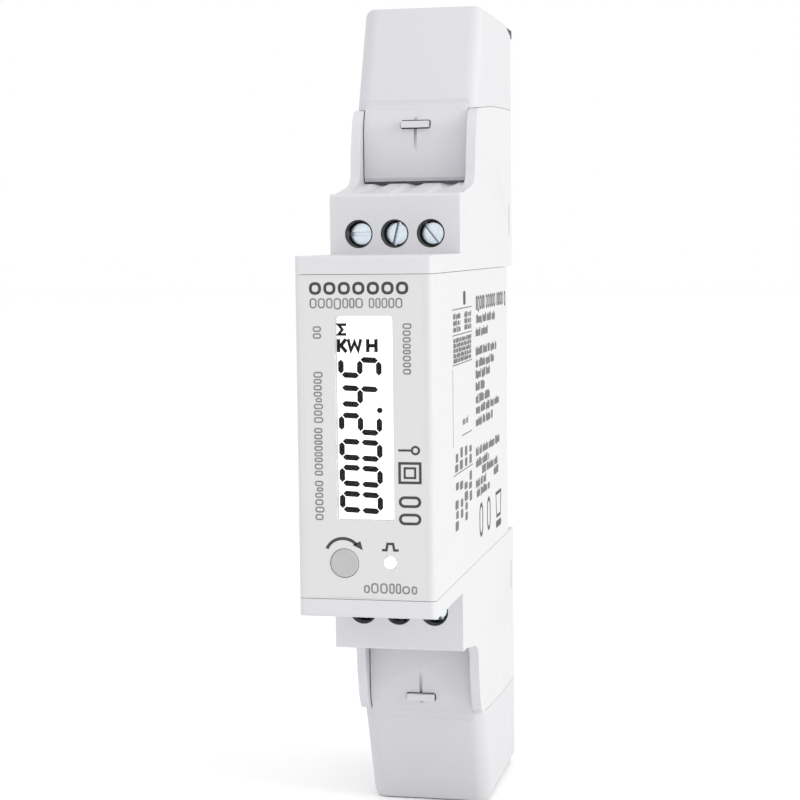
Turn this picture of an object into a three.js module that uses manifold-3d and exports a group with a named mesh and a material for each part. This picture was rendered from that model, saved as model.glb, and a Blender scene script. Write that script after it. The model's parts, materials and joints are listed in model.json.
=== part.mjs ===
// Smart electric meter, single phase, one module wide, for a 35 mm top-hat rail.
// Millimetres, +Z up. The origin is the middle of the face that rests on the rail.
// X runs to the right seen from the front, and Y runs from the front towards the rail.
import * as THREE from "three";
import { mergeVertices } from "three/addons/utils/BufferGeometryUtils.js";
import Module from "manifold-3d";

const wasm = await Module();
wasm.setup();

// ---- Driving dimensions -------------------------------------------------------------------

const WIDTH = 17.5; // one module
const FRONT = -58; // front face of the nose
const TIER = -39.4; // front face of the two terminal tiers
const EAR = -27.4; // front edge of the side walls beside each terminal cover
const BACK = 5; // back face, behind the rail plane
const NOSE_TOP = 22.5; // half the height of the 45 mm nose
const SEAM = 20.2; // half the height of the front cover
const TIER_TOP = 30.5;
const EAR_TOP = 42.4;
const CAP_TOP = 57; // half the overall height
const RAIL_HALF = 17.5; // half the height of the rail
const WALL = 1.3;
const SKIN = 1.1; // thickness of the front cover's wings
const PLATE = 1.6; // thickness of the front plate
const EDGE_R = 0.75; // rounding of the nose's upright edges
const LABEL_HALF = 7.65; // half the width of the label in the front cover
const PLAY = 0.15; // clearance between two mouldings where it isn't seen
const GAP = 0.06; // width of a seam that is seen
const SEAM_RISE = 1.4; // how far the seam under each terminal cover rises towards the back
const SEAT = { half: 15.7, front: -1.6, step: 0.4 }; // the raised face on the rail, clear of both hooks
const SNAP = { tip: 7, half: 6 }; // ribs inside the wings that catch in the rail seat's edges

const HALF = WIDTH / 2;
const INNER = HALF - WALL;
const SIDES = [1, -1]; // 1 is the upper half, -1 the lower half
const PLACES = { left: -1, middle: 0, right: 1 };

// Terminals: pitch across the width, and places along Y and Z in the upper half.
const PITCH = 4.85;
const SCREW_Z = 25.2;
const CHAMBER = { half: 1.95, front: -34.9, back: -14.6, floor: 21, roof: 29.3 };
const BORE_R = 1.88;
const SCREW = { headR: 1.6, shankR: 1.2, head: -37.8, neck: -36.4, tip: -24.6, slot: 0.6, slotDepth: 0.7 };
const CAGE = { half: 1.8, bar: 0.4, front: -30.5, back: -16.9, low: 22.6, high: 27.8, holeR: 1.38 };
const BAR = { half: 1.15, front: -24.3, back: -23.1, top: 28.4, foot: 15.2 };
const PAD = { half: 0.95, back: -22.85, low: 22.9, high: 27.5 }; // where the bar grips the wire
const ENTRY = { front: -23.8, back: -18.6 };
// Wire channels on the tier, which rise towards the cover by so many degrees.
const TROUGH = { r: 2.2, z: 33.95, rise: 7, front: -38, crest: -25.6, high: 32.15 };

// Windows and keys in the front plate.
const LCD = { x: -0.05, z: 2.4, halfWidth: 3.65, halfHeight: 12.7 };
const KEY = { x: -2.8, z: -15.65, r: 1.8, hole: 1.86, travel: 0.4 };
const LED = { x: 2.95, z: -15.5, r: 0.9 };

// Terminal covers: a tongue between the ears and a ramped cap above them.
const TONGUE = { half: 7.3, front: -25.1, back: -23.9, low: 32.5, bend: 38.8 };
const RAMP = { front: -24.1, slope: 0.41, edgeR: 2.3 };
const SEAL = { z: 40.3, slotHalf: 2.15, slotHigh: 0.62, lugHalf: 1.95, lugHigh: 0.45, lugFront: -25.6 };

// Rail clip, a slide in the back of the upper half.
const CLIP = { half: 4.3, lip: 3.5, front: 2.1, step: 3.4, back: 4.7, hook: 0.8, tail: 54.4 };
const WINDOW = { half: 1.9, low: 24, high: 37.2 };
const STOP = { half: 1.5, low: 35, high: 36.9 };

// ---- Materials ----------------------------------------------------------------------------

const material = (color, roughness, metalness = 0) =>
  new THREE.MeshStandardMaterial({ color, roughness, metalness });
const shellGrey = material(0xdfe0e4, 0.45);
const coverGrey = material(0xd5d6dc, 0.5);
const labelGrey = material(0xe6e6e6, 0.4);
const clearLens = material(0xf4f6f6, 0.1);
const lcdGlass = material(0xdfe5dc, 0.15);
const keyGrey = material(0xb9b9b9, 0.6);
const zinc = material(0xc9d2d8, 0.3, 1);
const steel = material(0xb8bcc0, 0.35, 1);
const copper = material(0xc8895a, 0.35, 1);
const boardGreen = material(0x1d5b38, 0.5);
const blackPlastic = material(0x1d1e20, 0.55);
const whitePlastic = material(0xeeeeea, 0.5);
const rubber = material(0x3a3c40, 0.8);
const capYellow = material(0xd9b23a, 0.5);
const varistorBlue = material(0x2c5fae, 0.5);

// ---- Solids and prisms --------------------------------------------------------------------

// A closed three.js geometry as a manifold-3d solid.
function solid(geometry) {
  const g = geometry.clone();
  g.deleteAttribute("normal");
  g.deleteAttribute("uv");
  const merged = mergeVertices(g, 1e-4);
  return new wasm.Manifold(
    new wasm.Mesh({
      numProp: 3,
      vertProperties: merged.attributes.position.array,
      triVerts: new Uint32Array(merged.index.array),
    }),
  );
}

// A manifold-3d solid as a three.js geometry.
function geometryOf(made) {
  const mesh = made.getMesh();
  const g = new THREE.BufferGeometry();
  g.setAttribute("position", new THREE.BufferAttribute(mesh.vertProperties, 3));
  g.setIndex(new THREE.BufferAttribute(mesh.triVerts, 1));
  g.computeVertexNormals();
  return g;
}

const joined = (first, ...others) => others.reduce((all, one) => all.add(one), first);
const cut = (first, ...others) => others.reduce((rest, one) => rest.subtract(one), first);

// A box between two values on each axis, in either order.
function box(x0, x1, y0, y1, z0, z1) {
  const g = new THREE.BoxGeometry(Math.abs(x1 - x0), Math.abs(y1 - y0), Math.abs(z1 - z0));
  g.translate((x0 + x1) / 2, (y0 + y1) / 2, (z0 + z1) / 2);
  return solid(g);
}

// A box that reaches half to each side of x.
const column = (x, half, y0, y1, z0, z1) => box(x - half, x + half, y0, y1, z0, z1);

function shapeOf(points) {
  return new THREE.Shape(points.map(([u, v]) => new THREE.Vector2(u, v)));
}

function extruded(shape, depth, basis, curveSegments = 8) {
  const g = new THREE.ExtrudeGeometry(shape, { depth, bevelEnabled: false, curveSegments });
  return solid(g.applyMatrix4(basis));
}

// A shape drawn in Y and Z, extruded along X from x0 to x1.
function prismX(shape, x0, x1) {
  const basis = new THREE.Matrix4().makeBasis(
    new THREE.Vector3(0, 1, 0),
    new THREE.Vector3(0, 0, 1),
    new THREE.Vector3(1, 0, 0),
  );
  return extruded(shape, x1 - x0, basis.setPosition(x0, 0, 0));
}

// A shape drawn in X and Z, extruded along Y from y0 to y1.
function prismY(shape, y0, y1) {
  const basis = new THREE.Matrix4().makeBasis(
    new THREE.Vector3(1, 0, 0),
    new THREE.Vector3(0, 0, 1),
    new THREE.Vector3(0, -1, 0),
  );
  return extruded(shape, y1 - y0, basis.setPosition(0, y1, 0));
}

// A shape drawn in X and Y, extruded along Z from z0 to z1.
function prismZ(shape, z0, z1) {
  return extruded(shape, z1 - z0, new THREE.Matrix4().setPosition(0, 0, z0));
}

function rod(axis, r, from, to, a, b, segments = 24) {
  const g = new THREE.CylinderGeometry(r, r, Math.abs(to - from), segments);
  const middle = (from + to) / 2;
  if (axis === "y") g.translate(a, middle, b);
  if (axis === "z") g.rotateX(Math.PI / 2).translate(a, b, middle);
  if (axis === "x") g.rotateZ(Math.PI / 2).translate(middle, a, b);
  return solid(g);
}

// A rectangle with round corners, about the middle (u, v).
function roundedRectangle(u, v, halfU, halfV, r) {
  const shape = new THREE.Shape();
  shape.moveTo(u - halfU + r, v - halfV);
  shape.lineTo(u + halfU - r, v - halfV);
  shape.absarc(u + halfU - r, v - halfV + r, r, -Math.PI / 2, 0);
  shape.absarc(u + halfU - r, v + halfV - r, r, 0, Math.PI / 2);
  shape.absarc(u - halfU + r, v + halfV - r, r, Math.PI / 2, Math.PI);
  shape.absarc(u - halfU + r, v - halfV + r, r, Math.PI, (3 * Math.PI) / 2);
  return shape;
}

// The outline in X and Y of a body whose two front corners are round, open towards +Y at `back`.
function roundedFront(half, front, back, r) {
  const shape = new THREE.Shape();
  shape.moveTo(half, back);
  shape.lineTo(-half, back);
  shape.lineTo(-half, front + r);
  shape.absarc(-half + r, front + r, r, Math.PI, (3 * Math.PI) / 2);
  shape.absarc(half - r, front + r, r, (3 * Math.PI) / 2, 2 * Math.PI);
  shape.lineTo(half, back);
  return shape;
}

const model = new THREE.Group();

// One sub-part: a named mesh, in the model or in one of its groups.
function addPart(name, made, look, parent = model) {
  const mesh = new THREE.Mesh(geometryOf(made), look);
  mesh.name = name;
  parent.add(mesh);
  return mesh;
}

// ---- Base housing -------------------------------------------------------------------------

const EAR_TIP = EAR + 3.6; // where the ear's rounded corner meets its top

// Points on the seam under a terminal cover, from the ear's corner to the back, as [y, z].
function coverSeam() {
  const steps = 8;
  return Array.from({ length: steps + 1 }, (_, i) => {
    const t = i / steps;
    return [EAR_TIP + (BACK - EAR_TIP) * t, EAR_TOP + SEAM_RISE * (1 - (1 - t) ** 2)];
  });
}

// Side outline of the half above or below the front cover: nose bar, tier and ear.
function halfOutline(side) {
  const shape = new THREE.Shape();
  const z = (value) => side * value;
  shape.moveTo(FRONT, z(SEAM + GAP / 2));
  shape.lineTo(FRONT, z(NOSE_TOP - 0.5));
  shape.quadraticCurveTo(FRONT, z(NOSE_TOP), FRONT + 0.5, z(NOSE_TOP));
  shape.lineTo(TIER, z(NOSE_TOP));
  shape.lineTo(TIER, z(TIER_TOP - 0.6));
  shape.quadraticCurveTo(TIER, z(TIER_TOP), TIER + 0.6, z(TIER_TOP));
  shape.lineTo(TIER + 2.5, z(TIER_TOP));
  shape.lineTo(EAR - 4.5, z(TIER_TOP + 0.8));
  shape.quadraticCurveTo(EAR - 0.2, z(TIER_TOP + 1.2), EAR, z(TIER_TOP + 3.2));
  shape.lineTo(EAR + 0.3, z(TIER_TOP + 6));
  shape.lineTo(EAR + 1.1, z(EAR_TOP - 2.7));
  shape.quadraticCurveTo(EAR + 1.9, z(EAR_TOP), EAR_TIP, z(EAR_TOP));
  for (const [y, height] of coverSeam()) shape.lineTo(y, z(height));
  shape.lineTo(BACK, z(SEAM + GAP / 2));
  return shape;
}

// What the terminals take out of one half: screw bores, clamp chambers, wire entries, bar slots.
function terminalCutters(side) {
  return Object.values(PLACES).flatMap((place) => {
    const x = place * PITCH;
    const z = (value) => side * value;
    return [
      rod("y", BORE_R, TIER - 1, SCREW.neck + 0.15, x, z(SCREW_Z), 32),
      rod("y", SCREW.shankR + 0.3, SCREW.neck, CHAMBER.front + 1, x, z(SCREW_Z)),
      column(x, CHAMBER.half, CHAMBER.front, CHAMBER.back, z(CHAMBER.floor), z(CHAMBER.roof)),
      column(x, CHAMBER.half, ENTRY.front, ENTRY.back, z(CHAMBER.roof - 1), z(TIER_TOP + 1)),
      column(x, BAR.half + 0.2, BAR.front - 0.2, BAR.back + 0.2, z(SEAM - 1), z(CHAMBER.floor + 1)),
    ];
  });
}

// What the wires and the electronics take out of one half.
function hollowCutters(side) {
  const z = (value) => side * value;
  return [
    box(-INNER, INNER, TIER - 5, 1, z(TIER_TOP), z(EAR_TOP + SEAM_RISE + 1)),
    box(-INNER, INNER, FRONT + PLATE, TIER - 0.8, z(SEAM - 1), z(NOSE_TOP - WALL)),
    box(-INNER, INNER, CHAMBER.back + 1.2, -0.6, z(SEAM - 1), z(CHAMBER.roof)),
  ];
}

// Short grip slots in the side walls near the back edge.
function sideSlots(side) {
  return SIDES.map((hand) => box(hand * (HALF - 0.5), hand * (HALF + 1), 2.2, 2.8, side * 25, side * 29.5));
}

// A wedge on the tier's top that reaches up to the cover's lower edge, with a trough for each wire.
function wireTroughs(side) {
  const z = (value) => side * value;
  const wedge = prismX(
    shapeOf([
      [TROUGH.front, z(TIER_TOP - 0.5)],
      [TROUGH.front, z(TIER_TOP)],
      [TROUGH.crest, z(TROUGH.high)],
      [ENTRY.back, z(TROUGH.high)],
      [ENTRY.back, z(TIER_TOP - 0.5)],
    ]), -INNER - 0.5, INNER + 0.5,
  );
  const places = Object.values(PLACES).map((place) => place * PITCH);
  return cut(
    wedge,
    ...places.map((x) =>
      rod("y", TROUGH.r, -16, 8, 0, 0, 32)
        .rotate([z(TROUGH.rise), 0, 0])
        .translate([x, TROUGH.crest, z(TROUGH.z)]),
    ),
    ...places.map((x) =>
      column(x, CHAMBER.half, ENTRY.front, ENTRY.back + 1, z(TIER_TOP - 1), z(TROUGH.z)),
    ),
  );
}

// A bar between the ears, with the lug that comes through the cover's slot for a seal wire.
function sealBridge(side) {
  const z = (value) => side * value;
  const bar = box(-INNER - 0.5, INNER + 0.5, -22.7, -21.2, z(SEAL.z - 1.5), z(SEAL.z + 1.5));
  const lug = box(
    -SEAL.lugHalf, SEAL.lugHalf, SEAL.lugFront, -22, z(SEAL.z - SEAL.lugHigh), z(SEAL.z + SEAL.lugHigh),
  );
  const wireHole = rod("z", 0.35, z(SEAL.z - 2), z(SEAL.z + 2), 0, SEAL.lugFront + 0.85, 12);
  return bar.add(lug.subtract(wireHole));
}

// The T-slot in the back that guides the rail clip, with a pocket its hook is drawn up into.
function clipTrack() {
  const wide = CLIP.half + 0.3;
  const narrow = CLIP.lip + 0.3;
  return joined(
    box(-wide, wide, CLIP.front - 0.2, CLIP.step + 0.3, RAIL_HALF - 1, EAR_TOP + SEAM_RISE + 1),
    box(-narrow, narrow, CLIP.step, BACK + 1, RAIL_HALF - 1, EAR_TOP + SEAM_RISE + 1),
    box(-narrow, narrow, CLIP.front - CLIP.hook - 0.2, BACK + 1, RAIL_HALF - 1, RAIL_HALF + 4.6),
  );
}

// The fixed hook that holds the lower edge of the rail.
function fixedHook() {
  const outline = shapeOf([
    [1.3, -RAIL_HALF - 1.5],
    [1.3, -RAIL_HALF + 1],
    [2.2, -RAIL_HALF + 1.6],
    [BACK, -RAIL_HALF - 0.6],
    [BACK, -RAIL_HALF - 3],
  ]);
  return prismX(outline, -INNER + PLAY, INNER - PLAY);
}

function baseHousing() {
  const halves = SIDES.map((side) => prismX(halfOutline(side), -HALF, HALF));
  const rounded = halves.map((half) =>
    half.intersect(prismZ(roundedFront(HALF, FRONT, BACK + 1, EDGE_R), -CAP_TOP, CAP_TOP)),
  );
  const inside = INNER - PLAY;
  const seat = cut(
    joined(
      box(-inside, inside, SEAT.front, 0, -SEAT.half, SEAT.half),
      box(-inside, inside, SEAT.front, -SEAT.step, -SEAM - 0.5, SEAM + 0.5),
    ),
    ...SIDES.map((hand) =>
      box(hand * (SNAP.tip - PLAY), hand * HALF, -1.4, -0.3, -SNAP.half - 0.3, SNAP.half + 0.3),
    ),
  );
  const shoulders = SIDES.map((side) =>
    box(-inside, inside, SEAT.front, BACK, side * (RAIL_HALF + 0.25), side * (SEAM + 0.5)),
  );
  const shell = cut(
    joined(...rounded, seat, ...shoulders),
    ...SIDES.flatMap((side) => [...terminalCutters(side), ...hollowCutters(side), ...sideSlots(side)]),
    clipTrack(),
  );
  const stop = box(-STOP.half, STOP.half, CLIP.front - 0.5, CLIP.back, STOP.low, STOP.high);
  return joined(shell, ...SIDES.map(wireTroughs), ...SIDES.map(sealBridge), fixedHook(), stop);
}

// ---- Front cover, label and window --------------------------------------------------------

// A U-shaped cover: the front plate and two wings that reach back to the rail plane.
function frontCover() {
  const high = SEAM - GAP / 2;
  const outer = prismZ(roundedFront(HALF, FRONT, -PLAY, EDGE_R), -high, high);
  const inner = HALF - SKIN;
  const snaps = SIDES.map((hand) =>
    box(hand * SNAP.tip, hand * (inner + 0.3), -1.2, -0.5, -SNAP.half, SNAP.half),
  );
  const hollow = box(-inner, inner, FRONT + PLATE, 1, -SEAM - 1, SEAM + 1);
  const recess = box(
    -LABEL_HALF - 0.01, LABEL_HALF + 0.01, FRONT - 1, FRONT + 0.25, -SEAM + 0.3, SEAM - 0.3,
  );
  const lcdOpening = prismY(
    roundedRectangle(LCD.x, LCD.z, LCD.halfWidth, LCD.halfHeight, 0.4), FRONT - 1, FRONT + PLATE + 1,
  );
  const keyHole = rod("y", KEY.hole, FRONT - 1, FRONT + PLATE + 1, KEY.x, KEY.z, 32);
  const ledHole = rod("y", LED.r, FRONT - 1, FRONT + PLATE + 1, LED.x, LED.z, 20);
  return joined(cut(outer, hollow, recess, lcdOpening, keyHole, ledHole), ...snaps);
}

function frontLabel() {
  const film = prismY(
    roundedRectangle(0, 0, LABEL_HALF, SEAM - 0.31, 0.2), FRONT + 0.005, FRONT + 0.23,
  );
  const lcdOpening = prismY(
    roundedRectangle(LCD.x, LCD.z, LCD.halfWidth, LCD.halfHeight, 0.4), FRONT - 1, FRONT + 1,
  );
  const keyHole = rod("y", KEY.hole, FRONT - 1, FRONT + 1, KEY.x, KEY.z, 32);
  const ledHole = rod("y", LED.r, FRONT - 1, FRONT + 1, LED.x, LED.z, 20);
  return cut(film, lcdOpening, keyHole, ledHole);
}

addPart("base_housing", baseHousing(), shellGrey);
addPart("front_cover", frontCover(), shellGrey);
addPart("front_label", frontLabel(), labelGrey);
addPart(
  "lcd_window",
  prismY(
    roundedRectangle(LCD.x, LCD.z, LCD.halfWidth - 0.08, LCD.halfHeight - 0.08, 0.35),
    FRONT + 0.05, FRONT + 0.55,
  ),
  clearLens,
);

// ---- Display stack ------------------------------------------------------------------------

const HOLDER = { half: 7.2, low: -12.4, high: 17.4, front: -56.2, back: -51.4 };
const CELL_STEP = -56.2; // where the cell's wider back plate begins
const BOARD_FRONT = -51.2;
const BOARD_BACK = -50;

function lcdHolder() {
  const { half, low, high, front, back } = HOLDER;
  return box(-half, half, front, back, low, high).subtract(
    box(-half + 0.9, half - 0.9, front - 1, back + 1, low + 0.9, high - 0.9),
  );
}

addPart("lcd_holder", lcdHolder(), whitePlastic);
// The cell is two glass plates: the front one fills the window, the back one carries the contacts.
addPart("lcd_glass", joined(
  box(
    LCD.x - LCD.halfWidth + 0.12, LCD.x + LCD.halfWidth - 0.12, FRONT + 0.7, CELL_STEP + 0.2,
    LCD.z - LCD.halfHeight + 0.12, LCD.z + LCD.halfHeight - 0.12,
  ),
  box(-6.15, 6.15, CELL_STEP, -55.1, -11.35, 16.35),
), lcdGlass);
addPart("backlight_diffuser", box(-4.4, 4.4, -55, -51.6, -10.8, 15.8), whitePlastic);
for (const [name, hand] of [["left", -1], ["right", 1]]) {
  addPart(`contact_strip_${name}`, box(hand * 4.6, hand * 6, -55, -51.4, -11, 16), rubber);
}
addPart("display_board", box(-7.2, 7.2, BOARD_FRONT, BOARD_BACK, -19.2, 19.2), boardGreen);

// The key: a flat cap in the plate, a flange that keeps it in, and a stem on the switch.
const keyCap = joined(
  rod("y", KEY.r, FRONT - 0.1, FRONT + PLATE + 0.4, KEY.x, KEY.z, 32),
  rod("y", 2.4, FRONT + PLATE + 0.3, FRONT + PLATE + 0.9, KEY.x, KEY.z, 32),
  rod("y", 0.9, FRONT + PLATE + 0.8, -53.9, KEY.x, KEY.z, 16),
);
addPart("push_button", keyCap, keyGrey);
addPart("switch_plunger", rod("y", 0.75, -53.8, -52.4, KEY.x, KEY.z, 16), blackPlastic);
addPart(
  "tact_switch",
  box(KEY.x - 2.1, KEY.x + 2.1, -53.2, BOARD_FRONT - 0.1, KEY.z - 2.1, KEY.z + 2.1).subtract(
    rod("y", 0.95, -54, -51.8, KEY.x, KEY.z, 20),
  ),
  steel,
);
addPart("light_pipe", rod("y", LED.r - 0.1, FRONT + 0.02, -52.6, LED.x, LED.z, 20), clearLens);
addPart(
  "pulse_led",
  box(LED.x - 1, LED.x + 1, -52.4, BOARD_FRONT - 0.1, LED.z - 0.6, LED.z + 0.6),
  whitePlastic,
);

// ---- Main board and what is soldered to it ------------------------------------------------

const BOARD_X = 6.3; // left face of the main board
const ON_BOARD = BOARD_X - 0.1; // right face of what stands on it

function meteringChip() {
  const y = -17.5;
  const z = -8;
  const half = 3.6;
  const body = box(ON_BOARD - 1.3, ON_BOARD - 0.15, y - half, y + half, z - half, z + half);
  const pins = [];
  for (let i = -3; i <= 3; i += 1) {
    const at = i * 0.9;
    pins.push(box(ON_BOARD - 0.5, ON_BOARD, y - half - 0.9, y + half + 0.9, z + at - 0.15, z + at + 0.15));
    pins.push(box(ON_BOARD - 0.5, ON_BOARD, y + at - 0.15, y + at + 0.15, z - half - 0.9, z + half + 0.9));
  }
  return joined(body, ...pins);
}

function optocoupler() {
  const body = box(ON_BOARD - 3.2, ON_BOARD - 0.4, -34.4, -29.4, -18.4, -12);
  const legs = [-17, -15.2, -13.4].map((z) =>
    box(ON_BOARD - 1.4, ON_BOARD, -35.4, -28.4, z - 0.25, z + 0.25),
  );
  return joined(body, ...legs);
}

const boardHoles = [16.5, -16.5].map((z) => rod("x", 1.1, BOARD_X - 1, BOARD_X + 2, -44, z, 16));
addPart("main_board", cut(box(BOARD_X, BOARD_X + 1, -49.6, -3, -19.2, 19.2), ...boardHoles), boardGreen);
addPart("board_header", box(ON_BOARD - 3.4, ON_BOARD, -49.8, -46.9, -7, 3), blackPlastic);
addPart("supply_capacitor", box(ON_BOARD - 6.6, ON_BOARD, -46, -32, 5.5, 17.5), capYellow);
addPart("electrolytic_capacitor", rod("z", 3.1, -8.5, 2.5, ON_BOARD - 3.2, -28, 24), blackPlastic);
addPart("drum_inductor", joined(
  rod("x", 3.4, ON_BOARD - 6, ON_BOARD - 4.8, -40, -2.5, 24),
  rod("x", 2.6, ON_BOARD - 5.2, ON_BOARD - 0.9, -40, -2.5, 24),
  rod("x", 3.4, ON_BOARD - 1.2, ON_BOARD, -40, -2.5, 24),
), rubber);
addPart("varistor", rod("z", 3.9, 10.2, 13.8, ON_BOARD - 4, -16, 24), varistorBlue);
addPart("metering_chip", meteringChip(), blackPlastic);
addPart("optocoupler", optocoupler(), blackPlastic);
addPart("crystal", prismX(roundedRectangle(-8.5, -6, 1.9, 4.8, 1.8), ON_BOARD - 3.4, ON_BOARD), steel);

// The shunt joins the bars of the two outer upper terminals through a U-shaped resistor strip.
const shuntBack = BAR.back + 1.3;
addPart("shunt", joined(
  box(-PITCH - BAR.half, PITCH + BAR.half, BAR.back + 0.1, shuntBack, 9, 12.5),
  ...SIDES.map((hand) =>
    box(hand * (PITCH - BAR.half), hand * (PITCH + BAR.half), BAR.back + 0.1, shuntBack, 12, 17.8),
  ),
), copper);

// ---- Terminals ----------------------------------------------------------------------------

// A slotted screw about its own axis, with the slot along X. Its origin is the head's front face.
function screwBody() {
  const length = SCREW.tip - SCREW.head;
  const neck = SCREW.neck - SCREW.head;
  const slot = box(-SCREW.headR - 1, SCREW.headR + 1, -1, SCREW.slotDepth, -SCREW.slot / 2, SCREW.slot / 2);
  return joined(
    rod("y", SCREW.headR, 0, neck, 0, 0, 28),
    rod("y", SCREW.shankR, neck - 0.2, length, 0, 0, 20),
  ).subtract(slot);
}

// The clamp cage about the screw's axis: a ring that the wire and the bar go through along Z.
function cageBody() {
  const ring = box(-CAGE.half, CAGE.half, CAGE.front, CAGE.back, CAGE.low - SCREW_Z, CAGE.high - SCREW_Z);
  const inner = CAGE.half - CAGE.bar;
  const wireSpace = box(-inner, inner, CAGE.front + 2, CAGE.back - 1.4, -9, 9);
  return cut(ring, wireSpace, rod("y", CAGE.holeR, CAGE.front - 1, CAGE.front + 3, 0, 0, 24));
}

// The contact bar about the screw's axis, from the clamp to its foot among the electronics.
function barBody(foot) {
  return joined(
    box(-BAR.half, BAR.half, BAR.front, BAR.back, foot - SCREW_Z, BAR.top - SCREW_Z),
    box(-PAD.half, PAD.half, BAR.back - 0.3, PAD.back, PAD.low - SCREW_Z, PAD.high - SCREW_Z),
  );
}

const SLOT_ANGLES = { upper: [0, 104, 52], lower: [20, 95, 60] }; // degrees, left to right
const TURN_DOWN = { upper: 0, lower: Math.PI }; // the lower terminals are the upper ones turned over

for (const level of ["upper", "lower"]) {
  for (const [name, place] of Object.entries(PLACES)) {
    const upper = level === "upper";
    const terminal = new THREE.Group();
    terminal.position.set(place * PITCH, 0, upper ? SCREW_Z : -SCREW_Z);
    terminal.rotation.y = TURN_DOWN[level];
    model.add(terminal);
    const screw = addPart(`terminal_screw_${level}_${name}`, screwBody(), zinc, terminal);
    screw.position.y = SCREW.head;
    screw.rotation.y = THREE.MathUtils.degToRad(SLOT_ANGLES[level][place + 1]);
    addPart(`clamp_cage_${level}_${name}`, cageBody(), steel, terminal);
    const foot = upper && place === 0 ? 18.6 : BAR.foot;
    addPart(`contact_bar_${level}_${name}`, barBody(foot), copper, terminal);
  }
}

// ---- Terminal covers ----------------------------------------------------------------------

// A prism that leans back with height, as the cover's ramp does.
function leaningPrism(shape, z0, z1) {
  const g = new THREE.ExtrudeGeometry(shape, { depth: z1 - z0, bevelEnabled: false, curveSegments: 6 });
  g.translate(0, 0, z0);
  const base = EAR_TOP + GAP;
  const lean = new THREE.Matrix4();
  lean.set(1, 0, 0, 0, 0, 1, RAMP.slope, -RAMP.slope * base, 0, 0, 1, 0, 0, 0, 0, 1);
  return solid(g.applyMatrix4(lean));
}

// The upper cover. It is modelled upright, and the lower one is the same shape turned over.
function terminalCover(withClipNotch) {
  const low = EAR_TOP + GAP;
  const behind = BACK + 12;
  const seam = coverSeam().map(([y, z]) => [y, z + GAP]);
  const belowSeam = prismX(
    shapeOf([[EAR - 9, low], ...seam, [BACK + 1, seam.at(-1)[1]], [BACK + 1, low - 9], [EAR - 9, low - 9]]),
    -HALF - 1, HALF + 1,
  );
  const outer = leaningPrism(roundedFront(HALF, RAMP.front, behind, RAMP.edgeR), low, CAP_TOP);
  const trim = prismY(
    roundedRectangle(0, CAP_TOP - 20, HALF, 20, 1.5), RAMP.front - 5, BACK,
  );
  const cavity = leaningPrism(roundedFront(INNER, RAMP.front + WALL, behind, 0.8), low - 1, CAP_TOP - WALL)
    .intersect(box(-HALF, HALF, RAMP.front, 0.8, low - 1, CAP_TOP));
  const wireOutlet = box(-INNER + 0.7, INNER - 0.7, -15.5, 0, CAP_TOP - 3, CAP_TOP + 1);
  const tongueOutline = shapeOf([
    [TONGUE.front + 0.3, TONGUE.low],
    [TONGUE.front, TONGUE.low + 0.5],
    [TONGUE.front, TONGUE.bend],
    [TONGUE.front + 0.08, TONGUE.bend + 1.1],
    [RAMP.front - RAMP.slope * (low - TONGUE.bend - 2), TONGUE.bend + 2],
    [RAMP.front - 0.01, low - 0.03],
    [RAMP.front + 0.35, low + 0.35],
    [RAMP.front + 0.35, low + 1.2],
    [TONGUE.back + 1, low + 1.2],
    [TONGUE.back, TONGUE.low],
  ]);
  const tongue = prismX(tongueOutline, -TONGUE.half, TONGUE.half);
  const slot = prismY(
    roundedRectangle(0, SEAL.z, SEAL.slotHalf, SEAL.slotHigh, 0.35), TONGUE.front - 1, TONGUE.back + 1,
  );
  const wireGroove = prismX(
    shapeOf([
      [TONGUE.front - 1, SEAL.z + 9],
      [TONGUE.front + 0.75, SEAL.z],
      [TONGUE.front - 1, SEAL.z - 9],
    ]), -0.22, 0.22,
  );
  const made = joined(cut(outer.intersect(trim), cavity, belowSeam), tongue);
  const cutters = [wireOutlet, slot, wireGroove];
  if (withClipNotch) {
    cutters.push(box(-CLIP.lip - 0.6, CLIP.lip + 0.6, CLIP.front - 0.3, BACK + 1, low - 1, CAP_TOP + 1));
    cutters.push(prismX(
      shapeOf([
        [CLIP.front - 0.3, CLIP.tail + 1.4],
        [BACK + 1, CLIP.tail + 0.27],
        [BACK + 1, CAP_TOP + 1],
        [CLIP.front - 0.3, CAP_TOP + 1],
      ]), -HALF - 1, HALF + 1,
    ));
  }
  return cut(made, ...cutters);
}

addPart("upper_terminal_cover", terminalCover(true), coverGrey);
addPart("lower_terminal_cover", terminalCover(false), coverGrey).rotation.y = Math.PI;

// ---- Rail clip ----------------------------------------------------------------------------

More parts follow.
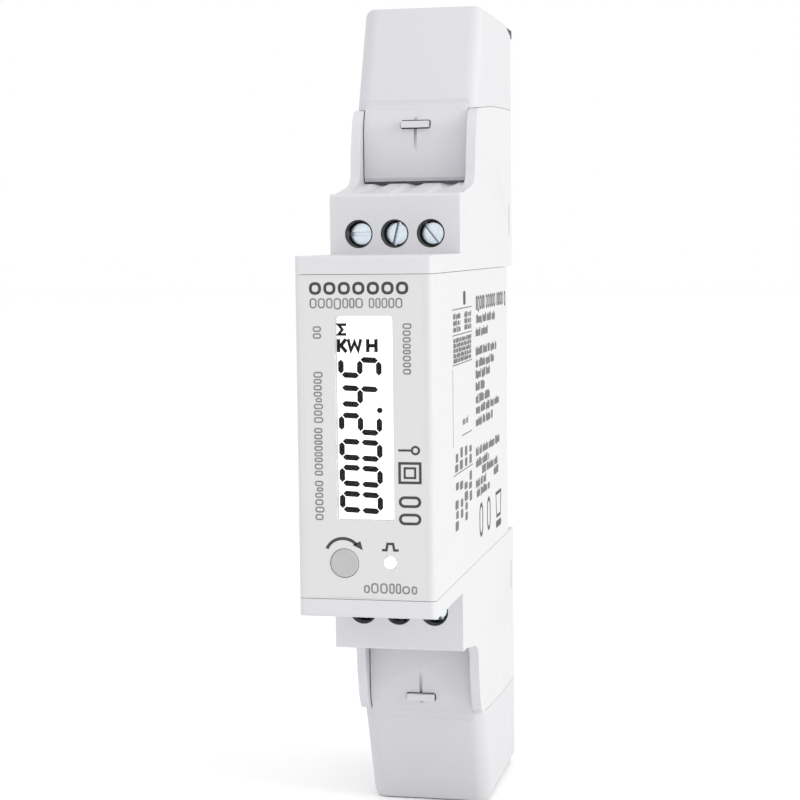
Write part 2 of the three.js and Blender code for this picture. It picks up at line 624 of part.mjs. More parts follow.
// A black slide with a hooked lower end, a window for its spring, and a cross bar to pull it by.
function railClip() {
  const body = joined(
    box(-CLIP.half, CLIP.half, CLIP.front, CLIP.step, RAIL_HALF + 0.4, EAR_TOP - 3.2),
    box(-CLIP.lip, CLIP.lip, CLIP.step - 0.2, CLIP.back, RAIL_HALF + 0.4, EAR_TOP - 3.2),
  );
  const hook = prismX(
    shapeOf([
      [CLIP.front, RAIL_HALF + 2],
      [CLIP.front - CLIP.hook, RAIL_HALF + 0.4],
      [CLIP.front - CLIP.hook, RAIL_HALF - 1.2],
      [CLIP.front, RAIL_HALF - 1.6],
      [CLIP.back, RAIL_HALF + 0.6],
      [CLIP.back, RAIL_HALF + 2],
    ]), -CLIP.lip, CLIP.lip,
  );
  const tail = box(-CLIP.lip, CLIP.lip, CLIP.front + 0.2, CLIP.back, EAR_TOP - 4, CLIP.tail + 1);
  const pull = prismX(
    shapeOf([
      [CLIP.front + 0.2, CLIP.tail + 1.7],
      [CLIP.front + 0.2, CLIP.tail + 1.4],
      [BACK + 1, CLIP.tail + 0.4],
      [BACK + 2, CLIP.tail + 0.4],
      [BACK + 2, CLIP.tail + 1.7],
    ]), -HALF + 0.1, HALF - 0.1,
  );
  const window = box(-WINDOW.half, WINDOW.half, 0, BACK + 1, WINDOW.low, WINDOW.high);
  const driverHole = box(-1.6, 1.6, 0, BACK + 2, 49, 51.4);
  return cut(joined(body, hook, tail, pull), window, driverHole);
}

// The coil spring in the clip's window, between its lower edge and the stop on the housing.
class Helix extends THREE.Curve {
  constructor(r, pitchTurns, low, high, x, y) {
    super();
    Object.assign(this, { r, pitchTurns, low, high, x, y });
  }

  getPoint(t, target = new THREE.Vector3()) {
    const angle = 2 * Math.PI * this.pitchTurns * t;
    return target.set(
      this.x + this.r * Math.cos(angle),
      this.y + this.r * Math.sin(angle),
      this.low + (this.high - this.low) * t,
    );
  }
}

function clipSpring() {
  const wire = 0.22;
  const section = new THREE.Shape();
  section.absarc(0, 0, wire, 0, 2 * Math.PI);
  const depth = (CLIP.front + CLIP.back) / 2 + 0.1;
  const path = new Helix(1.05, 8, WINDOW.low + 0.45, STOP.low - 0.45, 0, depth);
  const g = new THREE.ExtrudeGeometry(section, { steps: 80, curveSegments: 3, extrudePath: path });
  return solid(g);
}

addPart("rail_clip", railClip(), blackPlastic);
addPart("clip_spring", clipSpring(), steel);

export default model;
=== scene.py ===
"""Looks of the smart electric meter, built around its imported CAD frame.

Lengths are millimetres, apart from the floor, the lights, the camera and names that end in _M, which are
metres; MM turns millimetres into metres.
X runs to the right seen from the front, Y from the front towards the rail, and Z up.
"""

import json
import math
import random

import bmesh
import bpy
from mathutils import Matrix, Vector

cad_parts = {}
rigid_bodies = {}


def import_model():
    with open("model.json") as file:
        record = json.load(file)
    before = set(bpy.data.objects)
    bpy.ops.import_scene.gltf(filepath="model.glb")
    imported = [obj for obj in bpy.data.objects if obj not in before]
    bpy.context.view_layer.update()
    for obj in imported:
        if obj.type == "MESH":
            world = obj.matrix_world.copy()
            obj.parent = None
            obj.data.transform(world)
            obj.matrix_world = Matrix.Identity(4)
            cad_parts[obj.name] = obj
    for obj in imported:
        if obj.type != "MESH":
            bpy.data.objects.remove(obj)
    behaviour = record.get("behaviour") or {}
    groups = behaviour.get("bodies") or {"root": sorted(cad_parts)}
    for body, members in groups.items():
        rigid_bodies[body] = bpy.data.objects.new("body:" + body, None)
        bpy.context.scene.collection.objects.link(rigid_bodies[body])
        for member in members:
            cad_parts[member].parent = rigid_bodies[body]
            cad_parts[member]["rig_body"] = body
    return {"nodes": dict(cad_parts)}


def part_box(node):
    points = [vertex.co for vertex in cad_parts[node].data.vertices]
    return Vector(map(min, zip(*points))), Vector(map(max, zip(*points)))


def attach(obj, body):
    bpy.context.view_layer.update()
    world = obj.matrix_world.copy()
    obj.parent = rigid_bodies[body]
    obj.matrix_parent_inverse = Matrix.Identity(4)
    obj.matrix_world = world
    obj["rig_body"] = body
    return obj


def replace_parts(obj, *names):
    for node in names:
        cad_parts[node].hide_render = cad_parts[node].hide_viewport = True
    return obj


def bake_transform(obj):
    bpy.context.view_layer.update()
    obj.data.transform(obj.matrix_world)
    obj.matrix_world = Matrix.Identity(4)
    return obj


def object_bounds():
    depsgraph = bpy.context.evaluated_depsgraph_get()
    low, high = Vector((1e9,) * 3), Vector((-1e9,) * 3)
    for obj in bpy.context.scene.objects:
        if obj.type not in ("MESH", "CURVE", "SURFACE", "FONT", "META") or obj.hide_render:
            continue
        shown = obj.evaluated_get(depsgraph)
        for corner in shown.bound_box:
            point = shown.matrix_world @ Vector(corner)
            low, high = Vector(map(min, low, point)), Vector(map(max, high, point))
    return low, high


MM = 0.001
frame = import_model()
cad_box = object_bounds()
nodes = frame["nodes"]
body_of = {name: node["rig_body"] for name, node in nodes.items()}
LEVELS = ("upper", "lower")
PLACES = ("left", "middle", "right")


def millimetres(node):
    """Lowest and highest corners of a CAD node, in millimetres."""
    low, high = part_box(node)
    return low / MM, high / MM


# ---- Materials ----------------------------------------------------------------------------


def ramp(tree, source, low, high, start=0.3, end=0.7):
    """A number that follows source from low to high."""
    node = tree.nodes.new("ShaderNodeMapRange")
    node.inputs["From Min"].default_value = start
    node.inputs["From Max"].default_value = end
    node.inputs["To Min"].default_value = low
    node.inputs["To Max"].default_value = high
    tree.links.new(source, node.inputs["Value"])
    return node.outputs["Result"]


def mix(tree, factor, first, second):
    """A colour between two colours; each is a tuple or a socket."""
    node = tree.nodes.new("ShaderNodeMix")
    node.data_type = "RGBA"
    if isinstance(factor, float):
        node.inputs[0].default_value = factor
    else:
        tree.links.new(factor, node.inputs[0])
    for index, value in ((6, first), (7, second)):
        if isinstance(value, tuple):
            node.inputs[index].default_value = (*value, 1)
        else:
            tree.links.new(value, node.inputs[index])
    return node.outputs[2]


def noise(tree, size, detail=2.0, stretch=(1, 1, 1)):
    """A noise pattern with features of about that size."""
    place = tree.nodes.new("ShaderNodeTexCoord")
    scale = tree.nodes.new("ShaderNodeMapping")
    scale.inputs["Scale"].default_value = [s / (size * MM) for s in stretch]
    node = tree.nodes.new("ShaderNodeTexNoise")
    node.inputs["Scale"].default_value = 1.0
    node.inputs["Detail"].default_value = detail
    tree.links.new(place.outputs["Object"], scale.inputs["Vector"])
    tree.links.new(scale.outputs[0], node.inputs["Vector"])
    return node.outputs[0]


def finish_material(
    name, colour, roughness, metallic=0.0, mottle=0.04, mottle_size=7.0, grain=0.25,
    relief=0.004, stretch=(1, 1, 1), spread=0.08, pattern=None, **sockets,
):
    """A surface with drifting tint, drifting gloss and a fine relief. relief is its depth."""
    made = bpy.data.materials.new(name)
    made.use_nodes = True
    tree = made.node_tree
    shader = tree.nodes["Principled BSDF"]
    shader.inputs["Metallic"].default_value = metallic
    for socket, value in sockets.items():
        shader.inputs[socket.replace("_", " ")].default_value = value
    drift = noise(tree, mottle_size, 3.0, stretch)
    darker = tuple(c * (1 - mottle) for c in colour)
    lighter = tuple(min(1.0, c * (1 + mottle)) for c in colour)
    tint = mix(tree, ramp(tree, drift, 0.0, 1.0), darker, lighter)
    if pattern:
        tint = pattern(tree, tint)
    tree.links.new(tint, shader.inputs["Base Color"])
    fine = noise(tree, grain, 2.0, stretch)
    tree.links.new(ramp(tree, drift, roughness - spread, roughness + spread), shader.inputs["Roughness"])
    bump = tree.nodes.new("ShaderNodeBump")
    bump.inputs["Strength"].default_value = 1.0
    bump.inputs["Distance"].default_value = relief * MM
    tree.links.new(fine, bump.inputs["Height"])
    tree.links.new(bump.outputs[0], shader.inputs["Normal"])
    return made


def board_pattern(tree, tint):
    """Copper tracks under green lacquer, and small tinned pads."""
    place = tree.nodes.new("ShaderNodeTexCoord")
    for size, edge, colour in ((1.6, 0.42, (0.02, 0.12, 0.06)), (0.9, 0.36, (0.01, 0.055, 0.03))):
        bricks = tree.nodes.new("ShaderNodeTexVoronoi")
        bricks.distance = "CHEBYCHEV"
        bricks.inputs["Scale"].default_value = 1 / (size * MM)
        tree.links.new(place.outputs["Object"], bricks.inputs["Vector"])
        inside = ramp(tree, bricks.outputs["Distance"], 0.0, 1.0, edge, edge + 0.02)
        tint = mix(tree, inside, colour, tint)
    return tint


shell = finish_material("shell_plastic", (0.605, 0.603, 0.632), 0.47, mottle=0.012, relief=0.003)
wings = finish_material("front_plastic", (0.608, 0.606, 0.622), 0.47, mottle=0.012, relief=0.003)
cover = finish_material("cover_plastic", (0.575, 0.573, 0.604), 0.50, mottle=0.014, relief=0.004)
film = finish_material("label_film", (0.612, 0.611, 0.617), 0.42, mottle=0.01, relief=0.001)
lens = finish_material(
    "lens", (0.95, 0.97, 0.97), 0.10, mottle=0.01, relief=0.0, spread=0.03, Alpha=0.008,
    Specular_IOR_Level=0.12,
)
face = finish_material(
    "display_face", (0.90, 0.91, 0.90), 0.30, mottle=0.01, relief=0.0,
    Emission_Color=(1, 1, 1, 1), Emission_Strength=0.45,
)
segment = finish_material(
    "display_segment", (0.004, 0.004, 0.005), 0.6, mottle=0.1, mottle_size=3.0, relief=0.0,
    Specular_IOR_Level=0.05,
)
white = finish_material("white_plastic", (0.80, 0.80, 0.78), 0.45, mottle=0.02)
pipe = finish_material(
    "light_pipe", (0.93, 0.93, 0.93), 0.22, mottle=0.01, relief=0.001,
    Emission_Color=(1, 1, 1, 1), Emission_Strength=0.5,
)
key = finish_material("key_rubber", (0.43, 0.43, 0.43), 0.62, mottle=0.03, relief=0.006)
ink = finish_material(
    "ink_dark", (0.055, 0.055, 0.058), 0.55, mottle=0.18, mottle_size=0.8, Specular_IOR_Level=0.25,
)
pale_ink = finish_material(
    "ink_grey", (0.20, 0.20, 0.205), 0.55, mottle=0.20, mottle_size=0.8, Specular_IOR_Level=0.25,
)
side_ink = finish_material(
    "ink_side", (0.13, 0.13, 0.135), 0.55, mottle=0.25, mottle_size=0.8, Specular_IOR_Level=0.25,
)
black = finish_material("black_nylon", (0.022, 0.022, 0.024), 0.50, mottle=0.15, relief=0.006)
rubber = finish_material("rubber", (0.045, 0.045, 0.05), 0.75, mottle=0.1, relief=0.008)
zinc = finish_material(
    "zinc", (0.74, 0.82, 0.90), 0.24, 1.0, mottle=0.10, mottle_size=0.9, grain=0.12, relief=0.004,
)
# Dark metal for the faces inside the screw slots: painted shade, which darkens the slots where shade falls.
slot_shade_zinc = finish_material(
    "zinc_slot_painted_shade", (0.12, 0.15, 0.19), 0.45, 1.0, mottle=0.20, mottle_size=0.5, grain=0.12, relief=0.006,
)
steel = finish_material(
    "steel", (0.56, 0.57, 0.58), 0.34, 1.0, mottle=0.08, mottle_size=2.0, grain=0.15, relief=0.003,
)
copper = finish_material("copper", (0.83, 0.43, 0.26), 0.32, 1.0, mottle=0.12, mottle_size=1.8, relief=0.003)
board = finish_material("circuit_board", (0.015, 0.085, 0.045), 0.36, mottle=0.1, pattern=board_pattern)
yellow = finish_material("capacitor_film", (0.62, 0.40, 0.06), 0.42, mottle=0.06)
ferrite = finish_material("ferrite", (0.05, 0.05, 0.055), 0.70, mottle=0.15, relief=0.01)
blue = finish_material("varistor_epoxy", (0.03, 0.11, 0.42), 0.38, mottle=0.08, relief=0.006)

CARRIED_OVER = {
    "front_label": film, "lcd_window": lens, "lcd_glass": face, "lcd_holder": white,
    "backlight_diffuser": white, "contact_strip_left": rubber, "contact_strip_right": rubber,
    "display_board": board, "main_board": board, "tact_switch": steel, "switch_plunger": black,
    "pulse_led": white, "board_header": black, "supply_capacitor": yellow,
    "electrolytic_capacitor": black, "drum_inductor": ferrite, "varistor": blue,
    "metering_chip": black, "optocoupler": black, "crystal": steel, "shunt": copper,
}
for level in LEVELS:
    for place in PLACES:
        CARRIED_OVER[f"clamp_cage_{level}_{place}"] = steel
        CARRIED_OVER[f"contact_bar_{level}_{place}"] = copper


def dress(piece, material):
    piece.data.materials.clear()
    piece.data.materials.append(material)


for name, material in CARRIED_OVER.items():
    dress(nodes[name], material)


# ---- Mesh helpers -------------------------------------------------------------------------


def new_piece(name, mesh, material, body=None):
    """A mesh in millimetres as a piece in metres, which rides on a body."""
    mesh.transform(Matrix.Scale(MM, 4))
    piece = bpy.data.objects.new(name, mesh)
    bpy.context.scene.collection.objects.link(piece)
    dress(piece, material)
    if body:
        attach(piece, body)
    return piece


def mesh_of(bm, name, sharp=math.radians(32)):
    """The finished bmesh as a mesh that is smooth except where two faces meet at a sharp angle."""
    bmesh.ops.recalc_face_normals(bm, faces=bm.faces)
    for f in bm.faces:
        f.smooth = True
    for e in bm.edges:
        e.smooth = len(e.link_faces) != 2 or e.calc_face_angle(math.pi) < sharp
    mesh = bpy.data.meshes.new(name)
    bm.to_mesh(mesh)
    bm.free()
    return mesh


def settled(piece):
    """The piece with its modifiers worked into its mesh."""
    bpy.context.view_layer.update()
    seen = piece.evaluated_get(bpy.context.evaluated_depsgraph_get())
    mesh = bpy.data.meshes.new_from_object(seen)
    piece.modifiers.clear()
    piece.data = mesh
    return piece


def rounded_copy(node, name, material, radius, sharp=28, segments=3):
    """A copy of a CAD node with its sharp edges rounded off, which stands for the node."""
    bm = bmesh.new()
    bm.from_mesh(nodes[node].data)
    bmesh.ops.scale(bm, vec=(1 / MM,) * 3, verts=bm.verts)
    bmesh.ops.remove_doubles(bm, verts=bm.verts, dist=0.004)
    bmesh.ops.dissolve_limit(bm, angle_limit=math.radians(0.6), verts=bm.verts, edges=bm.edges)
    piece = new_piece(name, mesh_of(bm, name), material)
    bevel = piece.modifiers.new("rounding", "BEVEL")
    bevel.width = radius * MM
    bevel.segments = segments
    bevel.limit_method = "ANGLE"
    bevel.angle_limit = math.radians(sharp)
    bevel.harden_normals = True
    bevel.use_clamp_overlap = True
    bevel.miter_outer = "MITER_ARC"
    settled(piece)
    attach(piece, body_of[node])
    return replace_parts(piece, node)


def lathe(outline, segments, axis_x=0.0, axis_z=0.0):
    """A solid turned about an axis along Y, from (radius, y) points that start and end on it."""
    bm = bmesh.new()
    rings = []
    for radius, y in outline:
        if radius == 0:
            rings.append([bm.verts.new((axis_x, y, axis_z))])
            continue
        rings.append([
            bm.verts.new((
                axis_x + radius * math.cos(math.tau * k / segments), y,
                axis_z + radius * math.sin(math.tau * k / segments),
            ))
            for k in range(segments)
        ])
    for first, second in zip(rings, rings[1:]):
        for k in range(segments):
            after = (k + 1) % segments
            corners = [first[k % len(first)], first[after % len(first)]]
            corners += [second[after % len(second)], second[k % len(second)]]
            bm.faces.new(list(dict.fromkeys(corners)))
    return bm


def arc(cx, cy, radius, start, end, steps):
    """Points on an arc, with its angles in degrees."""
    angles = [math.radians(start + (end - start) * k / steps) for k in range(steps + 1)]
    return [(cx + radius * math.cos(a), cy + radius * math.sin(a)) for a in angles]


class Print:
    """Flat shapes on one face, made into one piece of thin closed prisms.

    place(u, v, lift) gives the point on the face; u and v are in millimetres."""

    THICK = 0.02

    def __init__(self, place):
        self.place = place
        self.bm = bmesh.new()

    def _ring(self, points, lift):
        return [self.bm.verts.new(self.place(u, v, lift)) for u, v in points]

    def _wall(self, low, high, closed=True):
        count = len(low)
        for k in range(count if closed else count - 1):
            after = (k + 1) % count
            self.bm.faces.new((low[k], low[after], high[after], high[k]))

    def area(self, points):
        """A filled convex outline."""
        low, high = self._ring(points, 0.0), self._ring(points, self.THICK)
        self._wall(low, high)
        self.bm.faces.new(low)
        self.bm.faces.new(high)

    def block(self, u0, v0, u1, v1, r=0.0):
        """A rectangle with rounded corners."""
        r = min(r, abs(u1 - u0) / 2.01, abs(v1 - v0) / 2.01)
        if r <= 0:
            return self.area([(u0, v0), (u1, v0), (u1, v1), (u0, v1)])
        turns = ((u1 - r, v0 + r, -90), (u1 - r, v1 - r, 0), (u0 + r, v1 - r, 90), (u0 + r, v0 + r, 180))
        self.area([p for cu, cv, a in turns for p in arc(cu, cv, r, a, a + 90, 2)])

    def outline(self, u0, v0, u1, v1, width, r=0.4):
        """The border of a rectangle, drawn inside it, with corners r times its short side."""
        half = width / 2
        u0, v0, u1, v1 = u0 + half, v0 + half, u1 - half, v1 - half
        r = max(r * min(u1 - u0, v1 - v0), 0.01)
        turns = ((u1 - r, v0 + r, -90), (u1 - r, v1 - r, 0), (u0 + r, v1 - r, 90), (u0 + r, v0 + r, 180))
        self.stroke([p for cu, cv, a in turns for p in arc(cu, cv, r, a, a + 90, 3)], width, closed=True)

    def stroke(self, points, width, closed=False):
        """A line of even width through the points, with mitred corners."""
        count = len(points)
        sides = ([], [])
        for k, (u, v) in enumerate(points):
            before = points[k - 1] if closed or k else None
            after = points[(k + 1) % count] if closed or k < count - 1 else None
            normals = []
            for a, b in ((before, (u, v)), ((u, v), after)):
                if a is not None and b is not None:
                    d = Vector((b[0] - a[0], b[1] - a[1])).normalized()
                    normals.append(Vector((-d.y, d.x)))
            across = sum(normals, Vector((0, 0))).normalized()
            reach = width / 2 / max(0.45, across.dot(normals[0]))
            sides[0].append((u + across.x * reach, v + across.y * reach))
            sides[1].append((u - across.x * reach, v - across.y * reach))
        rings = [[self._ring(side, lift) for side in sides] for lift in (0.0, self.THICK)]
        for ring in rings:
            self._wall(ring[0], ring[1], closed)
        for side in (0, 1):
            self._wall(rings[0][side], rings[1][side], closed)
        if not closed:
            for end in (0, -1):
                self.bm.faces.new((rings[0][0][end], rings[0][1][end], rings[1][1][end], rings[1][0][end]))

    def made(self, name, material, slot, body):
        return new_piece(name, mesh_of(self.bm, name), material, body)


def greeked(sheet, u0, v0, length, height, seed, word=(2, 7), fill=0.72, upright=True, tall=0.3, pen=0):
    """A line of small blocks that stands for a line of text. upright lines run along u.

    With a pen, each block is only its outline, drawn that wide."""
    rng = random.Random(seed)
    at = 0.0
    while at < length:
        for _ in range(rng.randint(*word)):
            wide = height * (rng.uniform(0.62, 0.92) if pen else rng.uniform(0.46, 0.76))
            if at + wide * fill > length:
                return
            low = 0.0 if rng.random() > 0.12 else -0.12 * height
            high = height * (1.0 if rng.random() < tall else 0.78)
            a, b = at, at + wide * fill
            corners = (u0 + a, v0 + low, u0 + b, v0 + high)
            if not upright:
                corners = (u0 - high, v0 + a, u0 - low, v0 + b)
            if pen:
                sheet.outline(*corners, pen)
            else:
                sheet.block(*corners, 0.12 * height)
            at += wide
        at += 0.45 * height


# ---- Moulded shells -----------------------------------------------------------------------

rounded_copy("base_housing", "base_shell", shell, 0.09)
rounded_copy("front_cover", "front_shell", wings, 0.03)
rounded_copy("upper_terminal_cover", "upper_cover_shell", cover, 0.10)
rounded_copy("lower_terminal_cover", "lower_cover_shell", cover, 0.10)
rounded_copy("rail_clip", "clip_slide_body", black, 0.15)

# ---- Key, light pipe and screws -----------------------------------------------------------

low, high = millimetres("push_button")
KEY_X, KEY_Z, KEY_R, KEY_FRONT = (low.x + high.x) / 2, (low.z + high.z) / 2, 1.8, low.y
flange_r = (high.x - low.x) / 2
flange_front = KEY_FRONT + 2.0
outline = [(0, KEY_FRONT + 0.07), (0.6, KEY_FRONT + 0.06), (1.1, KEY_FRONT + 0.025)]
outline += [(1.4, KEY_FRONT)]
outline += [(KEY_R - 0.2 + x, KEY_FRONT + 0.2 - y) for x, y in arc(0, 0, 0.2, 90, 0, 5)]
outline += [(KEY_R, flange_front), (flange_r - 0.1, flange_front), (flange_r, flange_front + 0.1)]
outline += [(flange_r, flange_front + 0.4), (flange_r - 0.1, flange_front + 0.5), (0.9, flange_front + 0.5)]
outline += [(0.9, high.y - 0.15), (0.75, high.y), (0, high.y)]
cap = new_piece("key_cap", mesh_of(lathe(outline, 64, KEY_X, KEY_Z), "key_cap"), key, "key")
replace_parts(cap, "push_button")

low, high = millimetres("light_pipe")
LED_X, LED_Z, LED_R = (low.x + high.x) / 2, (low.z + high.z) / 2, (high.x - low.x) / 2
outline = [(0, low.y), (0.35, low.y + 0.02), (0.62, low.y + 0.08), (LED_R, low.y + 0.2)]
outline += [(LED_R, high.y - 0.1), (LED_R - 0.1, high.y), (0, high.y)]
rod = new_piece(
    "pulse_light_pipe", mesh_of(lathe(outline, 48, LED_X, LED_Z), "pulse_light_pipe"), pipe,
    "housing",
)
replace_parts(rod, "light_pipe")

HEAD_R, SHANK_R, CORE_R, THREAD, HEAD_HIGH = 1.6, 1.2, 0.98, 0.6, 1.4
low, high = millimetres("terminal_screw_upper_left")
SCREW_FRONT, SCREW_TIP = low.y, high.y
SLOT_WIDE, SLOT_DEEP = 0.6, 0.7
SLOT_ANGLES = {"upper": (0, 104, 52), "lower": (20, 95, 60)}
# The second and third size the black sleeve in each bore, which is painted shade.
TIER_FRONT, SHADE_SLEEVE_R, SHADE_SLEEVE_HOLE = -39.4, 1.86, 1.68


def screw_shank():
    """The threaded shank about the Y axis, as a grid whose radius follows the helix."""
    bm = bmesh.new()
    around, per_turn = 28, 6
    start, end = SCREW_FRONT + HEAD_HIGH - 0.1, SCREW_TIP
    count = int((end - start) / THREAD * per_turn)
    rings = []
    for i in range(count + 1):
        y = start + (end - start) * i / count
        taper = min(1.0, (end - y) / 0.7 + 0.1)
        ring = []
        for k in range(around):
            phase = (y / THREAD - k / around) % 1.0
            crest = max(0.0, 1 - abs(phase - 0.5) * 2.6)
            radius = CORE_R * (0.75 + 0.25 * taper) + (SHANK_R - CORE_R) * crest * taper
            angle = math.tau * k / around
            ring.append(bm.verts.new((radius * math.cos(angle), y, radius * math.sin(angle))))
        rings.append(ring)
    for first, second in zip(rings, rings[1:]):
        for k in range(around):
            after = (k + 1) % around
            bm.faces.new((first[k], first[after], second[after], second[k]))
    bm.faces.new(rings[0])
    bm.faces.new(rings[-1])
    return mesh_of(bm, "screw_shank", math.radians(60))


def screw_head():
    """The slotted cheese head about the Y axis."""
    outline = [(0, SCREW_FRONT)]
    outline += [(HEAD_R - 0.22 + x, SCREW_FRONT + 0.22 - y) for x, y in arc(0, 0, 0.22, 90, 0, 6)]
    outline += [(HEAD_R, SCREW_FRONT + HEAD_HIGH - 0.08), (HEAD_R - 0.08, SCREW_FRONT + HEAD_HIGH)]
    outline += [(0, SCREW_FRONT + HEAD_HIGH)]
    head = new_piece("screw_head", mesh_of(lathe(outline, 64), "screw_head"), zinc)
    bm = bmesh.new()
    bmesh.ops.create_cube(bm, size=1.0)
    bmesh.ops.scale(bm, vec=(5, 2 * SLOT_DEEP, SLOT_WIDE), verts=bm.verts)
    bmesh.ops.translate(bm, vec=(0, SCREW_FRONT, 0), verts=bm.verts)
    cutter = new_piece("slot_cutter", mesh_of(bm, "slot_cutter"), zinc)
    slot = head.modifiers.new("slot", "BOOLEAN")
    slot.operation = "DIFFERENCE"
    slot.object = cutter
    settled(head)
    bpy.data.objects.remove(cutter)
    bm = bmesh.new()
    bm.from_mesh(head.data)
    bmesh.ops.scale(bm, vec=(1 / MM,) * 3, verts=bm.verts)
    bpy.data.objects.remove(head)
    return mesh_of(bm, "screw_head")


head_mesh, shank_mesh = screw_head(), screw_shank()
for level in LEVELS:
    for index, place in enumerate(PLACES):
        node = f"terminal_screw_{level}_{place}"
        low, high = millimetres(node)
        turn = math.radians(SLOT_ANGLES[level][index]) + (math.pi if level == "lower" else 0)
        at = Matrix.Translation(((low.x + high.x) / 2, 0, (low.z + high.z) / 2))
        at @= Matrix.Rotation(turn, 4, "Y")
        bm = bmesh.new()
        for part in (head_mesh, shank_mesh):
            bm.from_mesh(part)
        bm.transform(at)
        screw = new_piece(f"clamp_screw_{level}_{place}", mesh_of(bm, node), zinc, body_of[node])
        screw.data.materials.append(slot_shade_zinc)
        # Faces inside the slot get the second material, the dark metal of painted shade.
        across = Vector((math.sin(turn), 0, math.cos(turn)))
        centre = Vector(((low.x + high.x) / 2, 0, (low.z + high.z) / 2)) * MM
        for polygon in screw.data.polygons:
            middle = polygon.center - centre
            aside = abs(middle.dot(across)) / MM
            deep = middle.y / MM - SCREW_FRONT
            if aside < SLOT_WIDE / 2 + 0.02 and 0.02 < deep < SLOT_DEEP - 0.02:
                polygon.material_index = 1
        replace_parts(screw, node)
        # A black sleeve lines each bore from the tier face back behind the screw head: painted shade, which
        # darkens the bore walls where shade falls deep in the bore.
        ring = [
            (SHADE_SLEEVE_HOLE + 0.06, TIER_FRONT + 0.04), (SHADE_SLEEVE_R - 0.02, TIER_FRONT + 0.04),
            (SHADE_SLEEVE_R, SCREW_FRONT + HEAD_HIGH), (SHADE_SLEEVE_HOLE, SCREW_FRONT + HEAD_HIGH),
            (SHADE_SLEEVE_HOLE, TIER_FRONT + 0.12), (SHADE_SLEEVE_HOLE + 0.06, TIER_FRONT + 0.04),
        ]
        shade_sleeve = lathe(ring, 48, (low.x + high.x) / 2, (low.z + high.z) / 2)
        bmesh.ops.remove_doubles(shade_sleeve, verts=shade_sleeve.verts, dist=0.001)
        new_piece(
            f"bore_shade_sleeve_{level}_{place}", mesh_of(shade_sleeve, "bore_shade_sleeve"), black, "housing",
        )

# ---- Clip spring --------------------------------------------------------------------------

SPRING_R, SPRING_WIRE, SPRING_Y = 1.05, 0.22, 3.5
SPRING_LOW, SPRING_HIGH, SPRING_TURNS = 24.25, 34.75, 9.5
SPRING_STEPS, SPRING_SEAT = 24, 0.25


def spring_line():
    """Centreline of the spring, with its last turn at each end closed up."""
    points = []
    total = int(SPRING_TURNS * SPRING_STEPS)
    for k in range(total + 1):
        turn = k / SPRING_STEPS
        closed = SPRING_WIRE * 2.1
        open_pitch = (SPRING_HIGH - SPRING_LOW - 2 * closed) / (SPRING_TURNS - 2)
        if turn < 1:
            z = SPRING_LOW + closed * turn
        elif turn > SPRING_TURNS - 1:
            z = SPRING_HIGH - closed * (SPRING_TURNS - turn)
        else:
            z = SPRING_LOW + closed + open_pitch * (turn - 1)
        angle = math.tau * turn
        points.append(Vector((SPRING_R * math.cos(angle), SPRING_Y + SPRING_R * math.sin(angle), z)))
    return points


def tube(points, radius, sides, name):
    """A closed round wire along the points."""
    bm = bmesh.new()
    rings = []
    for k, p in enumerate(points):
        along = (points[min(k + 1, len(points) - 1)] - points[max(k - 1, 0)]).normalized()
        out = along.cross(Vector((0, 0, 1))).normalized()
        up = out.cross(along)
        angles = [math.tau * s / sides for s in range(sides)]
        rings.append([bm.verts.new(p + radius * (out * math.cos(a) + up * math.sin(a))) for a in angles])
    for first, second in zip(rings, rings[1:]):
        for s in range(sides):
            after = (s + 1) % sides
            bm.faces.new((first[s], first[after], second[after], second[s]))
    bm.faces.new(rings[0])
    bm.faces.new(rings[-1])
    return mesh_of(bm, name, math.radians(60))


coil = tube(spring_line(), SPRING_WIRE, 10, "clip_coil_spring")
spring = new_piece("clip_coil_spring", coil, steel)
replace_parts(spring, "clip_spring")
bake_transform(spring)

# ---- Display ------------------------------------------------------------------------------

label_low, label_high = millimetres("front_label")
LABEL_Y = label_low.y
GLASS_Y = millimetres("lcd_glass")[0].y
SEGMENTS = {"0": "abcdef", "2": "abdeg", "4": "bcfg", "5": "acdfg"}
DIGIT_TALL, DIGIT_WIDE, BAR, GAP, SLANT = 5.5, 2.68, 0.70, 0.10, 0.05
DIGIT_TOP_X = -3.45
DIGITS = (("0", -9.43), ("0", -6.15), ("0", -2.9), ("2", 0.35), ("4", 3.75), ("5", 7.35))
POINT = (1.76, 3.41)


def on_glass(u, v, lift):
    return (u, GLASS_Y - lift, v)


def digit(sheet, value, low_z):
    """One seven-segment digit that reads upwards, with its top towards the left."""

    def place(s, t):
        return (DIGIT_TOP_X + DIGIT_TALL - t, low_z + s + SLANT * (t - DIGIT_TALL / 2))

    w, h, half = DIGIT_WIDE, DIGIT_TALL, BAR / 2
    mid = h / 2
    level_bars = {"a": h - half, "d": half, "g": mid}
    upright_bars = {
        "f": (half, mid, h - half), "b": (w - half, mid, h - half),
        "e": (half, half, mid), "c": (w - half, half, mid),
    }
    for name in SEGMENTS[value]:
        if name in level_bars:
            t = level_bars[name]
            ends = [(half + GAP, t), (w - half - GAP, t)]
            across = (0, half)
        else:
            s, t0, t1 = upright_bars[name]
            ends = [(s, t0 + GAP), (s, t1 - GAP)]
            across = (half, 0)
        (s0, t0), (s1, t1) = ends
        ds, dt = ((half, 0) if name in level_bars else (0, half))
        corners = [
            (s0, t0), (s0 + ds + across[0], t0 + dt + across[1]), (s1 - ds + across[0], t1 - dt + across[1]),
            (s1, t1), (s1 - ds - across[0], t1 - dt - across[1]), (s0 + ds - across[0], t0 + dt - across[1]),
        ]
        sheet.area([place(s, t) for s, t in corners])


readout = Print(on_glass)
for value, low_z in DIGITS:
    digit(readout, value, low_z)
readout.area([(POINT[0] + x, POINT[1] + z) for x, z in arc(0, 0, 0.36, 0, 330, 11)])

